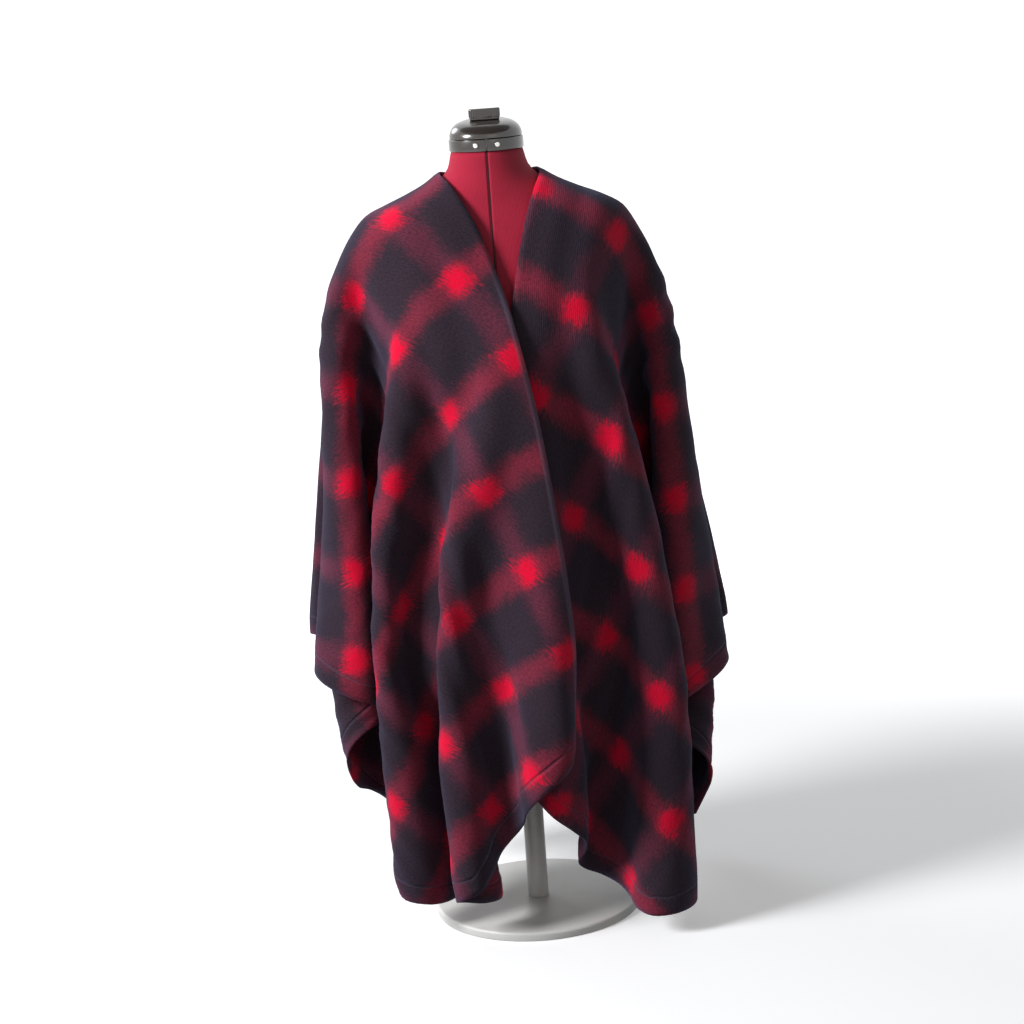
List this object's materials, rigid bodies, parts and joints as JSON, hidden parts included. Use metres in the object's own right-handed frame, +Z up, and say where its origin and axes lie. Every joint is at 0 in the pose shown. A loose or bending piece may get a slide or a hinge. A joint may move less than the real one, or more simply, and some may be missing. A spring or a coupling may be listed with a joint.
{
  "type": "cape on dress form",
  "caption": "Checked wrap cape with lapped fronts and an open hem, hanging on a limbless dress form with a domed neck cap, a pole and a disc base",
  "frame": {"origin": "the middle of the base plate's underside, on the floor", "axes": "+Z up, the wearer's front faces -Y, +X is the wearer's left"},
  "size_m": [0.5765, 0.412, 1.0848],
  "materials": {
    "plaid_fleece": "brushed twill, soft shadow plaid in near-black navy, muted plum red and bright red",
    "jersey_cover": "taut crimson jersey",
    "dark_plastic": "glossy dark brown",
    "screw_steel": "bright turned heads",
    "pale_paint": "satin paint",
    "board": "plain fibreboard"
  },
  "bodies": {
    "root": {"cape_back": "plaid_fleece", "cape_front_right": "plaid_fleece", "cape_front_left": "plaid_fleece", "form_torso": "jersey_cover", "form_board": "board", "neck_band": "dark_plastic", "neck_cap": "dark_plastic", "cap_knob": "dark_plastic", "band_screw_right": "screw_steel", "band_screw_left": "screw_steel", "pole_collar": "pale_paint", "pole": "pale_paint", "base_plate": "pale_paint"}
  },
  "joints": []
}
